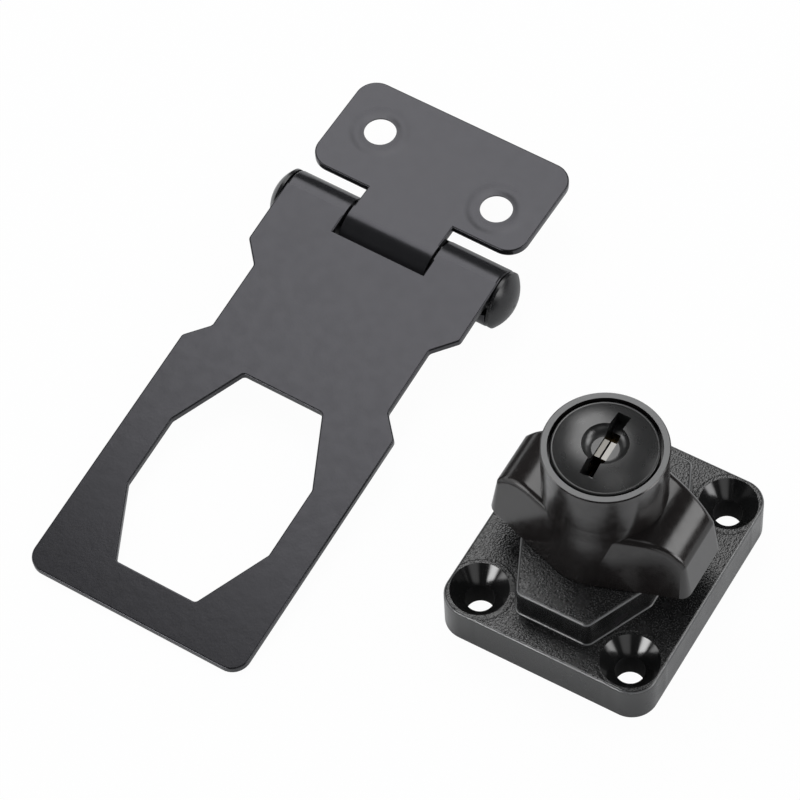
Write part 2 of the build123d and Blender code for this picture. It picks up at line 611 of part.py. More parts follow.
def knuckle(side, start, end):
    """Rolled knuckle between two places across the hinge; side +1 leads to the sheet on +Y, -1 on -Y.
    Its ends on the hinge's two sides are rounded."""
    outer = HASP_RADIUS
    turn = side * CURL_ANGLE
    last = radians(90 + turn)
    tip_out = (outer * cos(last), outer * sin(last))
    tip_in = (SHEET_UNDER * cos(last), SHEET_UNDER * sin(last))
    flat = side * OVERRUN
    profile = [
        Line((flat, outer), (0, outer)),
        CenterArc((0, 0), outer, 90, turn),
        Line(tip_out, tip_in),
        CenterArc((0, 0), SHEET_UNDER, 90 + turn, -turn),
        Line((0, SHEET_UNDER), (flat, SHEET_UNDER)),
        Line((flat, SHEET_UNDER), (flat, outer)),
    ]
    face = Plane.YZ * make_face(profile)
    curl = Pos(start, 0, 0) * extrude(face, end - start, dir=(1, 0, 0))
    rims = [e for e in curl.edges() if e.geom_type == GeomType.CIRCLE and e.radius > HASP_RADIUS - 0.01
            and abs(e.center().X) > STRAP_HALF_WIDTH - 0.01]
    return fillet(rims, KNUCKLE_EDGE) if rims else curl


def soft_sheet(outline, side):
    """Level punched sheet: the upper edges are rolled over by the punch, the lower ones are sharp."""
    sheet = Pos(0, 0, SHEET_UNDER) * extrude(outline, SHEET, dir=(0, 0, 1))
    return fillet([e for e in edges_at(sheet, HASP_RADIUS) if side * e.center().Y > 0.01], SHEET_EDGE)


def hasp_strap_flat():
    """Strap lying level, pin axis on X through the origin, free end towards -Y."""
    half = [
        (STRAP_HALF_WIDTH, 0),
        (STRAP_HALF_WIDTH, SHOULDER_BACK),
        (NECK_HALF_WIDTH, NECK_BACK),
        (NECK_HALF_WIDTH, NECK_FULL),
        (STRAP_HALF_WIDTH, NECK_START),
        (STRAP_HALF_WIDTH, -STRAP_LENGTH),
    ]
    other = [(-x, y) for x, y in reversed(half)]
    outline = make_face(Polyline(*(half + other), close=True))
    ends = [v for v in outline.vertices() if abs(v.Y + STRAP_LENGTH) < 0.01]
    outline = fillet(ends, STRAP_CORNER)
    steps = [v for v in outline.vertices() if NECK_START - 0.01 < v.Y < SHOULDER_BACK + 0.01]
    outline = fillet(steps, STEP_CORNER)
    outline -= Pos(0, (OVERRUN + NOTCH_EDGE) / 2) * Rectangle(2 * NOTCH_HALF_WIDTH, OVERRUN - NOTCH_EDGE)
    outline -= Pos(0, WINDOW_CENTRE) * window_outline()
    sheet = soft_sheet(outline, -1)
    sheet += knuckle(-1, -STRAP_HALF_WIDTH, -NOTCH_HALF_WIDTH)
    sheet += knuckle(-1, NOTCH_HALF_WIDTH, STRAP_HALF_WIDTH)
    return sheet


def hasp_leaf_flat():
    """Mounting leaf lying level, pin axis on X through the origin."""
    width = 2 * STRAP_HALF_WIDTH
    plate = Pos(0, (LEAF_NEAR + LEAF_FAR) / 2) * Rectangle(width, LEAF_FAR - LEAF_NEAR)
    plate = fillet(plate.vertices(), LEAF_CORNER)
    plate += Pos(0, (LEAF_NEAR + OVERRUN) / 2) * Rectangle(2 * TAB_HALF_WIDTH, LEAF_NEAR + OVERRUN)
    sheet = soft_sheet(plate, 1)
    sheet += knuckle(1, -TAB_HALF_WIDTH, TAB_HALF_WIDTH)
    for x, y in ((-LEAF_HOLE_X, LEAF_HOLE_LEFT_Y), (LEAF_HOLE_X, LEAF_HOLE_RIGHT_Y)):
        sheet -= Pos(x, y, 0) * leaf_hole()
    return sheet


def leaf_hole():
    """Screw hole through the leaf, sunk from the barrel's side."""
    hole = LEAF_HOLE_DIAMETER / 2
    sink = LEAF_HOLE_SINK / 2
    outline = Polyline(
        (0, SHEET_UNDER - OVERRUN),
        (sink, SHEET_UNDER - OVERRUN),
        (sink, SHEET_UNDER),
        (hole, HASP_RADIUS - LEAF_HOLE_LAND),
        (hole, HASP_RADIUS + OVERRUN),
        (0, HASP_RADIUS + OVERRUN),
        close=True,
    )
    return revolve(make_face(Plane.XZ * outline), Axis.Z)


def hinge_pin_flat():
    """Pin along X with a low domed head at each end."""
    reach = STRAP_HALF_WIDTH + PIN_HEAD_GAP
    collar = reach + PIN_COLLAR
    tip = collar + PIN_DOME
    sphere = (PIN_HEAD_RADIUS ** 2 + PIN_DOME ** 2) / (2 * PIN_DOME)
    half_turn = asin(PIN_HEAD_RADIUS / sphere) / 2
    dome_x = tip - sphere + sphere * cos(half_turn)
    dome_y = sphere * sin(half_turn)
    outline = [
        Line((-tip, 0), (tip, 0)),
        ThreePointArc((tip, 0), (dome_x, dome_y), (collar, PIN_HEAD_RADIUS)),
        Line((collar, PIN_HEAD_RADIUS), (reach, PIN_HEAD_RADIUS)),
        Line((reach, PIN_HEAD_RADIUS), (reach, PIN_RADIUS)),
        Line((reach, PIN_RADIUS), (-reach, PIN_RADIUS)),
        Line((-reach, PIN_RADIUS), (-reach, PIN_HEAD_RADIUS)),
        Line((-reach, PIN_HEAD_RADIUS), (-collar, PIN_HEAD_RADIUS)),
        ThreePointArc((-collar, PIN_HEAD_RADIUS), (-dome_x, dome_y), (-tip, 0)),
    ]
    return revolve(make_face(outline), Axis.X)


def place_hasp(piece, tilt=0.0):
    """Put a hasp piece where it lies beside the lock body, tilted about the pin."""
    return Pos(HASP_X, HASP_Y, HASP_RADIUS) * Rot(0, 0, HASP_TURN) * Rot(tilt, 0, 0) * piece


pieces = {
    "base_plate": base_plate(),
    "turn_knob": turn_knob(),
    "key_plug": key_plug(),
    "plug_retainer": plug_retainer(),
    "retainer_spring": retainer_spring(),
    "drive_tail": drive_tail(),
    "lock_bolt": lock_bolt(),
    "thrust_washer": thrust_washer(),
    "disc_spring": disc_spring(),
    "spindle_ring": spindle_ring(),
    "hasp_mounting_leaf": place_hasp(hasp_leaf_flat()),
    "hasp_strap": place_hasp(hasp_strap_flat(), STRAP_TILT),
    "hinge_pin": place_hasp(hinge_pin_flat()),
}
for index in range(WAFER_COUNT):
    pieces[f"wafer_{index + 1}"] = wafer(index)
    pieces[f"wafer_spring_{index + 1}"] = wafer_spring(index)

os.makedirs("parts", exist_ok=True)
for name, piece in pieces.items():
    piece.label = name
    export_step(piece, f"parts/{name}.step")
    print(name, len(piece.solids()), round(piece.volume, 2))
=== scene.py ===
# %% [markdown]
# # A keyed hasp lock, step by step
# The lock has two halves that lie side by side: a hinged sheet-metal hasp, and a cast lock body with a
# winged turn-knob. The exact shapes come from the CAD model, which this script loads as a fixed frame.
# What Blender adds is what the eye needs to believe the metal: coats, textures, a pale rim, and the light
# of a small studio.

# %% Load the frame
import bpy
import bmesh
import json
from math import atan2, cos, radians
from mathutils import Matrix, Vector


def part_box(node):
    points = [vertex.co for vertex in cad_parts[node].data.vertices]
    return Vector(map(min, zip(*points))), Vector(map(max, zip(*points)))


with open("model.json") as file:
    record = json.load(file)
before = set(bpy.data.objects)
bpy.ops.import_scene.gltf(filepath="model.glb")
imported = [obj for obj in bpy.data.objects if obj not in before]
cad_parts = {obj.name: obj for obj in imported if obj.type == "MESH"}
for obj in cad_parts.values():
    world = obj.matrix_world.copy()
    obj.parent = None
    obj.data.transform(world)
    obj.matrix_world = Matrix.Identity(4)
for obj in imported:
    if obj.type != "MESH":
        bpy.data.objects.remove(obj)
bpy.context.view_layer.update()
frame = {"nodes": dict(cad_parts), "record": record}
nodes = frame["nodes"]
scene = bpy.context.scene
mm = 0.001

# %% [markdown]
# ## The camera
# The photograph was taken with a long lens from above, in front and to the right, and the camera was
# rolled by about four degrees. A camera can be placed by eye, by turning it until the outlines agree, or
# from a fit to known edges. The place, the directions and the lens below came from such a fit, so straight
# lines in the picture fall where they fall in the photograph. A rotation matrix is built from the three
# directions, because it holds the roll as well.

# %% Camera at the photograph's angle
camera_place = Vector((0.154517, -0.287846, 0.549967))
camera_right = Vector((0.86453, 0.50117, -0.03767)).normalized()
camera_ahead = Vector((-0.3011, 0.45647, -0.83724)).normalized()
camera_up = camera_right.cross(camera_ahead)
sensor_width_mm = 36.0
lens_mm = 187.12
nearest_seen = 0.05
farthest_seen = 20.0

camera_data = bpy.data.cameras.new("camera")
camera_data.sensor_width = sensor_width_mm
camera_data.lens = lens_mm
camera_data.clip_start = nearest_seen
camera_data.clip_end = farthest_seen
camera = bpy.data.objects.new("camera", camera_data)
turn = Matrix((camera_right, camera_up, -camera_ahead)).transposed()
camera.matrix_world = Matrix.Translation(camera_place) @ turn.to_4x4()
scene.collection.objects.link(camera)
scene.camera = camera
print("camera", tuple(round(v, 4) for v in camera.location))

# %% [markdown]
# ## Small helpers for node trees
# A material, a world and a node group are all node trees, and most of the work in one is placing a node,
# writing its values and linking it. Each helper below does one such step, which keeps the later cells
# short enough to read. Those that work out a value or a shader return its output socket, so that calls
# can be nested in the order in which the values flow.

# %% Node helpers
def grey(level):
    """Neutral colour of one level, from 0 for black to 1 for white."""
    return (level, level, level, 1.0)


def feed(tree, socket, value):
    """Link an output socket to an input, or write a plain value into it."""
    if isinstance(value, bpy.types.NodeSocket):
        tree.links.new(value, socket)
    else:
        socket.default_value = value


def calculate(tree, operation, *values):
    """Math node on sockets or numbers; returns its result."""
    node = tree.nodes.new("ShaderNodeMath")
    node.operation = operation
    for socket, value in zip(node.inputs, values):
        feed(tree, socket, value)
    return node.outputs["Value"]


def calculate_vector(tree, operation, *values, result="Vector"):
    """Vector math node on sockets or vectors; returns its result."""
    node = tree.nodes.new("ShaderNodeVectorMath")
    node.operation = operation
    for socket, value in zip(node.inputs, values):
        feed(tree, socket, value)
    return node.outputs[result]


def ramp_between(tree, value, low, high, out_low=0.0, out_high=1.0):
    """Smooth step of a value between two marks; returns its result."""
    node = tree.nodes.new("ShaderNodeMapRange")
    node.interpolation_type = "SMOOTHSTEP"
    feed(tree, node.inputs["Value"], value)
    node.inputs["From Min"].default_value = low
    node.inputs["From Max"].default_value = high
    node.inputs["To Min"].default_value = out_low
    node.inputs["To Max"].default_value = out_high
    return node.outputs["Result"]


def mix_shaders(tree, share, first, second):
    """Blend of two shaders; both its inputs are called Shader, so they are taken by number."""
    node = tree.nodes.new("ShaderNodeMixShader")
    feed(tree, node.inputs["Fac"], share)
    tree.links.new(first, node.inputs[1])
    tree.links.new(second, node.inputs[2])
    return node.outputs["Shader"]


def new_material(name):
    """Empty node material; returns it with its tree and its output node."""
    material = bpy.data.materials.new(name)
    material.use_nodes = True
    tree = material.node_tree
    tree.nodes.clear()
    return material, tree, tree.nodes.new("ShaderNodeOutputMaterial")


def seen_share(tree, direct, mirrored):
    """Share of the white that a ray sees: straight from the camera, or by a mirror or through glass."""
    path = tree.nodes.new("ShaderNodeLightPath")
    by_mirror = calculate(tree, "MAXIMUM", path.outputs["Is Glossy Ray"],
                          path.outputs["Is Transmission Ray"])
    by_mirror = calculate(tree, "MULTIPLY", by_mirror, mirrored)
    by_eye = calculate(tree, "MULTIPLY", path.outputs["Is Camera Ray"], direct)
    return calculate(tree, "MAXIMUM", by_eye, by_mirror)


# %% [markdown]
# ## The open studio
# A product photograph on white needs a background that is pure white in the picture and yet does not
# flood the object with light. One plain white world would do both at once. Here the world is white where
# it is seen, directly or in a reflection, and a dimmer, slightly cool grey as a light.

# %% World
white = grey(1.0)
sky_tint = (0.93, 0.96, 1.0, 1.0)
sky_strength = 0.45

scene.view_settings.view_transform = "Standard"
world = bpy.data.worlds.new("studio")
scene.world = world
world.use_nodes = True
sky = world.node_tree
sky.nodes.clear()
sky_output = sky.nodes.new("ShaderNodeOutputWorld")
sky_light = sky.nodes.new("ShaderNodeBackground")
sky_light.inputs["Color"].default_value = sky_tint
sky_light.inputs["Strength"].default_value = sky_strength
sky_seen = sky.nodes.new("ShaderNodeBackground")
sky_seen.inputs["Color"].default_value = white
sky_mix = mix_shaders(sky, seen_share(sky, direct=1.0, mirrored=1.0),
                      sky_light.outputs["Background"], sky_seen.outputs["Background"])
sky.links.new(sky_mix, sky_output.inputs["Surface"])
print("world", world.name, "light", sky_strength)

# %% [markdown]
# ## The white table
# The table is one large flat grid. A plain white surface would come out grey under soft lamps, and a
# glowing one would show no shadow. So it mixes the two: nearly all glow where the camera sees it, a
# quarter of that in reflections, and plain paper for the light itself, which leaves the lock its shadow.

# %% Floor
paper_white = grey(0.9)
glow_strength = 1.0
floor_half = 1.5
floor_glow_seen = 0.97
floor_glow_mirrored = 0.26

floor_mesh = bpy.data.meshes.new("floor")
floor_shape = bmesh.new()
bmesh.ops.create_grid(floor_shape, x_segments=1, y_segments=1, size=floor_half)
floor_shape.to_mesh(floor_mesh)
floor_shape.free()
floor = bpy.data.objects.new("floor", floor_mesh)
scene.collection.objects.link(floor)

floor_material, tree, output = new_material("white_floor")
paper = tree.nodes.new("ShaderNodeBsdfDiffuse")
paper.inputs["Color"].default_value = paper_white
glow = tree.nodes.new("ShaderNodeEmission")
glow.inputs["Color"].default_value = white
glow.inputs["Strength"].default_value = glow_strength
floor_mix = mix_shaders(tree, seen_share(tree, floor_glow_seen, floor_glow_mirrored),
                        paper.outputs["BSDF"], glow.outputs["Emission"])
tree.links.new(floor_mix, output.inputs["Surface"])
floor_mesh.materials.append(floor_material)
print("floor", 2 * floor_half, "m square")

# %% [markdown]
# ## The tent
# Black metal shows its shape through what it mirrors. A photographer hangs dark cloth round it and leaves
# bright windows, so that flat faces pick up one even grey and rounded edges run from bright to black. Here
# that is one half sphere that only mirror rays see: the camera, the lamps and the shadows pass through it.
# It stands near, so that the two ends of the long strap mirror different places, and its grey changes
# slowly along it as in the photograph.

# %% Tent: half sphere
tent_radius = 0.62
tent_foot = -0.01 * tent_radius
tent_segments = 64

tent_mesh = bpy.data.meshes.new("tent")
tent_shape = bmesh.new()
bmesh.ops.create_uvsphere(tent_shape, u_segments=tent_segments, v_segments=tent_segments // 2,
                          radius=tent_radius)
below = [v for v in tent_shape.verts if v.co.z < tent_foot]
bmesh.ops.delete(tent_shape, geom=below, context="VERTS")
tent_shape.to_mesh(tent_mesh)
tent_shape.free()
tent = bpy.data.objects.new("tent", tent_mesh)
scene.collection.objects.link(tent)
tent.visible_camera = False
tent.visible_diffuse = False
tent.visible_transmission = False
tent.visible_shadow = False
print("tent", len(tent_mesh.polygons), "faces")

# %% [markdown]
# ## Windows in the tent
# A window could be a lamp of its own, but then its edge would be sharp and it would light the coats too.
# As a glow in the tent's material it has a soft edge and only mirrors see it. Each window has a direction
# from the middle, the angles in degrees where its edge starts and ends, and a brightness. The first six
# were placed from the reflections in the photograph. The last four are weak, and give some shape to the
# sides that the photograph does not show.

# %% Tent: windows
tent_dark = 0.06
windows_from_photograph = [
    ((-0.35, 0.43, 0.83), 12.5, 20.5, 3.05),
    ((-0.52, 0.63, 0.58), 6.0, 13.0, 3.2),
    ((0.70, 0.49, 0.52), 11.0, 20.0, 3.7),
    ((0.94, 0.12, 0.31), 7.0, 17.0, 4.5),
    ((-0.30, -0.94, 0.14), 8.0, 18.0, 10.0),
    ((-0.80, -0.52, 0.30), 9.0, 20.0, 3.0),
]
windows_for_other_sides = [
    ((0.12, 0.02, 0.99), 5.0, 15.0, 0.9),
    ((0.68, -0.68, 0.22), 8.0, 22.0, 0.8),
    ((-0.95, -0.20, 0.26), 8.0, 22.0, 1.2),
    ((0.42, 0.87, 0.24), 4.0, 14.0, 0.9),
]
tent_windows = windows_from_photograph + windows_for_other_sides

tent_material, tree, output = new_material("tent_cloth")
place = tree.nodes.new("ShaderNodeTexCoord")
toward = calculate_vector(tree, "NORMALIZE", place.outputs["Object"])
level = tent_dark
for direction, inner, outer, brightness in tent_windows:
    middle = Vector(direction).normalized()
    aim = calculate_vector(tree, "DOT_PRODUCT", toward, middle, result="Value")
    window = ramp_between(tree, aim, cos(radians(outer)), cos(radians(inner)), out_high=brightness)
    level = calculate(tree, "MAXIMUM", level, window)
glow = tree.nodes.new("ShaderNodeEmission")
feed(tree, glow.inputs["Strength"], level)
tree.links.new(glow.outputs["Emission"], output.inputs["Surface"])
tent_material.cycles.emission_sampling = "NONE"
tent_mesh.materials.append(tent_material)
print("windows", len(windows_from_photograph), "and", len(windows_for_other_sides))

# %% [markdown]
# ## The lamps
# The tent is only for mirrors, so real lamps light the coats themselves and draw the soft shadow. Point
# lamps would give hard shadows, and large area lamps give soft ones. Mirrors do not see them, because the
# tent's windows are there for that. Each is placed by the direction in which it stands off from the middle
# of the lock, and turned to face it.

# %% Soft lamps
lock_middle = Vector((-0.02, 0.0, 0.01))


def soft_lamp(name, direction, distance, size, power):
    """Area lamp that faces the middle of the lock; distance and size in metres, power in watts."""
    data = bpy.data.lights.new(name, "AREA")
    data.shape = "RECTANGLE"
    data.size = size[0]
    data.size_y = size[1]
    data.energy = power
    lamp = bpy.data.objects.new(name, data)
    away = Vector(direction).normalized()
    lamp.location = lock_middle + away * distance
    lamp.rotation_euler = (-away).to_track_quat("-Z", "Y").to_euler()
    lamp.visible_glossy = False
    scene.collection.objects.link(lamp)
    print(name, "at", tuple(round(v, 2) for v in lamp.location))


soft_lamp("back_lamp", direction=(-0.34, 0.45, 0.83), distance=1.1, size=(0.7, 0.6), power=4.6)
soft_lamp("right_lamp", direction=(0.74, 0.50, 0.46), distance=1.0, size=(0.35, 0.35), power=2.0)
soft_lamp("left_lamp", direction=(-0.95, -0.10, 0.35), distance=1.0, size=(0.4, 0.5), power=1.6)

# %% [markdown]
# ## Shared textures as node groups
# Three effects are made once each, as a node group with named inputs and outputs: a small tool that a
# material picks up with its own values. Film grain is in every finish, as the height of the paint film and
# as a slight change of its gloss. The ring mark finds a ring round a point, for the dishes at the leaf's
# screw holes and the fine rings at the base's, and it gives the distance from that point too. The height
# mark finds what lies above a height, for the knob's rim and the bare metal in the plug's slot.

# %% Group: film grain
def start_group(name, inputs, outputs):
    """Empty node group with named sockets; returns it with its input and output nodes."""
    group = bpy.data.node_groups.new(name, "ShaderNodeTree")
    for title, kind, value in inputs:
        socket = group.interface.new_socket(name=title, in_out="INPUT", socket_type=kind)
        socket.default_value = value
    for title, kind in outputs:
        group.interface.new_socket(name=title, in_out="OUTPUT", socket_type=kind)
    return group, group.nodes.new("NodeGroupInput"), group.nodes.new("NodeGroupOutput")


def use_group(tree, group, values):
    """Place a node group in a tree with its own values; returns its outputs."""
    node = tree.nodes.new("ShaderNodeGroup")
    node.node_tree = group
    for title, value in values.items():
        feed(tree, node.inputs[title], value)
    return node.outputs


FLOAT = "NodeSocketFloat"
VECTOR = "NodeSocketVector"
noise_detail = 2.0
noise_low = 0.35
noise_high = 0.65

film_grain, enter, leave = start_group(
    "film_grain",
    [("Vector", VECTOR, (0, 0, 0)), ("Grain", FLOAT, 1500.0), ("Waves", FLOAT, 150.0),
     ("Wave Share", FLOAT, 0.3), ("Roughness Low", FLOAT, 0.3), ("Roughness High", FLOAT, 0.4)],
    [("Height", FLOAT), ("Roughness", FLOAT)],
)
fine = film_grain.nodes.new("ShaderNodeTexNoise")
fine.inputs["Detail"].default_value = noise_detail
film_grain.links.new(enter.outputs["Vector"], fine.inputs["Vector"])
film_grain.links.new(enter.outputs["Grain"], fine.inputs["Scale"])
broad = film_grain.nodes.new("ShaderNodeTexNoise")
broad.inputs["Detail"].default_value = noise_detail
film_grain.links.new(enter.outputs["Vector"], broad.inputs["Vector"])
film_grain.links.new(enter.outputs["Waves"], broad.inputs["Scale"])
waves = calculate(film_grain, "MULTIPLY", broad.outputs["Fac"], enter.outputs["Wave Share"])
height = calculate(film_grain, "ADD", fine.outputs["Fac"], waves)
spread = film_grain.nodes.new("ShaderNodeMapRange")
spread.inputs["From Min"].default_value = noise_low
spread.inputs["From Max"].default_value = noise_high
film_grain.links.new(broad.outputs["Fac"], spread.inputs["Value"])
film_grain.links.new(enter.outputs["Roughness Low"], spread.inputs["To Min"])
film_grain.links.new(enter.outputs["Roughness High"], spread.inputs["To Max"])
film_grain.links.new(height, leave.inputs["Height"])
film_grain.links.new(spread.outputs["Result"], leave.inputs["Roughness"])
print("group", film_grain.name)

# %% Group: ring mark
flat_only = (1.0, 1.0, 0.0)

ring_mark, enter, leave = start_group(
    "ring_mark",
    [("Vector", VECTOR, (0, 0, 0)), ("Centre", VECTOR, (0, 0, 0)), ("Radius", FLOAT, 0.005),
     ("Width", FLOAT, 0.001)],
    [("Mask", FLOAT), ("Distance", FLOAT)],
)
flat = calculate_vector(ring_mark, "SUBTRACT", enter.outputs["Vector"], enter.outputs["Centre"])
flat = calculate_vector(ring_mark, "MULTIPLY", flat, flat_only)
reach = calculate_vector(ring_mark, "LENGTH", flat, result="Value")
off = calculate(ring_mark, "ABSOLUTE", calculate(ring_mark, "SUBTRACT", reach, enter.outputs["Radius"]))
share = calculate(ring_mark, "DIVIDE", off, enter.outputs["Width"])
mask = ramp_between(ring_mark, share, low=0.0, high=1.0, out_low=1.0, out_high=0.0)
ring_mark.links.new(mask, leave.inputs["Mask"])
ring_mark.links.new(reach, leave.inputs["Distance"])
print("group", ring_mark.name)

# %% Group: above a height
above_mark, enter, leave = start_group(
    "above_mark",
    [("Vector", VECTOR, (0, 0, 0)), ("Height", FLOAT, 0.0)],
    [("Mask", FLOAT)],
)
parts = above_mark.nodes.new("ShaderNodeSeparateXYZ")
above_mark.links.new(enter.outputs["Vector"], parts.inputs["Vector"])
mask = calculate(above_mark, "GREATER_THAN", parts.outputs["Z"], enter.outputs["Height"])
above_mark.links.new(mask, leave.inputs["Mask"])
print("group", above_mark.name)

# %% [markdown]
# ## A coat of black paint
# Every outer piece is metal under a thin coat, and what differs is the colour, the gloss and the grain.
# The parts that all coats share are set up in one function: a Principled surface, Object coordinates,
# which keep a texture at its real size on the piece, the film grain and a Bump node. The function hands
# back what a finish may change, so each finish stays a short cell of its own.

# %% Coat function
class Coat:
    """Parts of a painted material that a finish may still change."""


# A Mix node has sockets of one name for each kind of value, so its sockets are taken by number.
VALUE_LOW = 2
VALUE_HIGH = 3
VALUE_RESULT = 0
COLOR_LOW = 6
COLOR_HIGH = 7
COLOR_RESULT = 2


def mix_value(tree, mask, low, high):
    """Value that goes from low to high with a mask; low and high are numbers or sockets."""
    node = tree.nodes.new("ShaderNodeMix")
    feed(tree, node.inputs["Factor"], mask)
    feed(tree, node.inputs[VALUE_LOW], low)
    feed(tree, node.inputs[VALUE_HIGH], high)
    return node.outputs[VALUE_RESULT]


def mix_color(tree, mask, low, high):
    """Colour that goes from low to high with a mask; low and high are colours or sockets."""
    node = tree.nodes.new("ShaderNodeMix")
    node.data_type = "RGBA"
    feed(tree, node.inputs["Factor"], mask)
    feed(tree, node.inputs[COLOR_LOW], low)
    feed(tree, node.inputs[COLOR_HIGH], high)
    return node.outputs[COLOR_RESULT]


def coat(name, color, roughness, grain, waves, depth, specular=0.5, wave_share=0.3):
    """Paint film: roughness as lowest and highest, grain and waves per metre, depth in metres."""
    made = Coat()
    made.material, tree, output = new_material(name)
    made.tree = tree
    made.surface = tree.nodes.new("ShaderNodeBsdfPrincipled")
    made.surface.inputs["Base Color"].default_value = color
    made.surface.inputs["Specular IOR Level"].default_value = specular
    made.place = tree.nodes.new("ShaderNodeTexCoord").outputs["Object"]
    film = use_group(tree, film_grain, {"Vector": made.place, "Grain": grain, "Waves": waves,
                                        "Wave Share": wave_share, "Roughness Low": roughness[0],
                                        "Roughness High": roughness[1]})
    made.height = film["Height"]
    made.roughness = film["Roughness"]
    made.bump = tree.nodes.new("ShaderNodeBump")
    made.bump.inputs["Distance"].default_value = depth
    feed(tree, made.bump.inputs["Height"], made.height)
    feed(tree, made.surface.inputs["Roughness"], made.roughness)
    tree.links.new(made.bump.outputs["Normal"], made.surface.inputs["Normal"])
    tree.links.new(made.surface.outputs["BSDF"], output.inputs["Surface"])
    return made


def give(finish, *names):
    """Put one finish on CAD pieces."""
    for name in names:
        piece = nodes[name]
        piece.data.materials.clear()
        piece.data.materials.append(finish.material)
    print(finish.material.name, "on", ", ".join(names))


# %% [markdown]
# ## Satin coat on the sheet
# The leaf and the strap are folded sheet steel under a thin, even coat: nearly black, satin, with hardly
# any grain, and with a faint blue in its gloss, which the Specular Tint gives. The sheet is drawn in a
# little round each screw hole of the leaf, where the punch went through. Such a dish could be modelled,
# but at a tenth of a millimetre it would cost many faces, so it is a ring in the bump's height.

# %% Sheet finish
def by_name(items, name):
    """Entry with this name in one of the record's lists."""
    return next(item for item in items if item["name"] == name)


hinge = by_name(frame["record"]["behaviour"]["joints"], "strap_swing")
hinge_turn = atan2(-hinge["axis"][1], -hinge["axis"][0])
leaf_screws = by_name(frame["record"]["mounts"], "leaf_screws")
half_step_along = 12.1 * mm
half_step_across = 1.875 * mm
half_step = Vector((half_step_along, -half_step_across, 0.0))
half_step.rotate(Matrix.Rotation(hinge_turn, 3, "Z"))
leaf_middle = Vector(leaf_screws["pos_m"])
leaf_holes = [leaf_middle - half_step, leaf_middle + half_step]

sheet_black = (0.014, 0.014, 0.015, 1.0)
faint_blue = (0.93, 0.92, 1.0, 1.0)
dish_radius = 3.9 * mm
dish_width = 1.5 * mm
dish_depth_in_films = 26.0

sheet = coat("satin_sheet_coat", sheet_black, roughness=(0.20, 0.24), grain=2600.0, waves=520.0,
             depth=0.004 * mm, specular=0.51, wave_share=2.5)
sheet.surface.inputs["Specular Tint"].default_value = faint_blue
height = sheet.height
for hole in leaf_holes:
    ring = use_group(sheet.tree, ring_mark, {"Vector": sheet.place, "Centre": hole,
                                             "Radius": dish_radius, "Width": dish_width})
    dish = calculate(sheet.tree, "MULTIPLY", ring["Mask"], dish_depth_in_films)
    height = calculate(sheet.tree, "SUBTRACT", height, dish)
feed(sheet.tree, sheet.bump.inputs["Height"], height)
give(sheet, "hasp_mounting_leaf", "hasp_strap")

# %% [markdown]
# ## Pin
# The pin's domed heads carry a black like the sheet's, a little duller and with no tint in its gloss. The
# coat function gives that with other values alone.

# %% Pin finish
pin_black = (0.010, 0.010, 0.011, 1.0)
pin = coat("pin_coat", pin_black, roughness=(0.24, 0.30), grain=1800.0, waves=200.0, depth=0.003 * mm)
give(pin, "hinge_pin")

# %% [markdown]
# ## Zones on the base
# The base is a casting with a coat that dries into fine wrinkles on its upper faces, while its sides and
# the countersinks are smooth. The zones could be painted on a map, but here the shape itself tells them.
# The upward part of the surface's own normal tells level faces from rounded edges and sides, and the
# distance from a screw's axis tells the countersinks and the walls of the holes. The coordinates are
# folded into one quarter of the base, so that one corner stands for all four.

# %% Base zones
screw_sizes = by_name(frame["record"]["mounts"], "base_screws")["dims"]
screw_corner = (screw_sizes["spacing_x_mm"] / 2 * mm, screw_sizes["spacing_y_mm"] / 2 * mm, 0.0)
countersink_radius = 4.62 * mm
hole_margin = 0.04 * mm
hole_wall_radius = screw_sizes["hole_r_mm"] * mm + hole_margin
ring_radius = 5.35 * mm
ring_width = 0.35 * mm
level_starts = 0.9
level_full = 0.99

base_black = grey(0.011)
base = coat("wrinkle_coat", base_black, roughness=(0.22, 0.28), grain=3600.0, waves=260.0,
            depth=0.05 * mm, specular=0.7)
tree = base.tree
folded = calculate_vector(tree, "ABSOLUTE", base.place)
sink = use_group(tree, ring_mark, {"Vector": folded, "Centre": screw_corner, "Radius": ring_radius,
                                   "Width": ring_width})
in_sink = calculate(tree, "LESS_THAN", sink["Distance"], countersink_radius)
in_hole = calculate(tree, "LESS_THAN", sink["Distance"], hole_wall_radius)
outside_sink = calculate(tree, "SUBTRACT", 1.0, in_sink)
parts = tree.nodes.new("ShaderNodeSeparateXYZ")
tree.links.new(tree.nodes.new("ShaderNodeTexCoord").outputs["Normal"], parts.inputs["Vector"])
upward = parts.outputs["Z"]
rough_zone = calculate(tree, "MULTIPLY", ramp_between(tree, upward, level_starts, level_full), outside_sink)
print("screws at", [round(v, 5) for v in screw_corner], "hole walls within", round(hole_wall_radius, 5))

# %% [markdown]
# ## Wrinkle coat on the base
# The wrinkles are far too small to model, so a Voronoi pattern gives their height, and a fine raised ring
# runs round each countersink. Light specks painted into the black of the level faces are painted
# highlights for the wrinkle tops that catch the light, and a lighter grey painted on the rounded edges is a
# painted highlight too. The coat is shiny in the countersinks and dull on the walls of the holes.

# %% Base: height
wrinkle_scale = 3300.0
wrinkle = tree.nodes.new("ShaderNodeTexVoronoi")
wrinkle.feature = "F1"
wrinkle.inputs["Scale"].default_value = wrinkle_scale
tree.links.new(base.place, wrinkle.inputs["Vector"])
rough_height = calculate(tree, "ADD", base.height, wrinkle.outputs["Distance"])
height = calculate(tree, "MULTIPLY", rough_height, rough_zone)
height = calculate(tree, "ADD", height, sink["Mask"])
feed(tree, base.bump.inputs["Height"], height)
print("wrinkles per metre", wrinkle_scale)

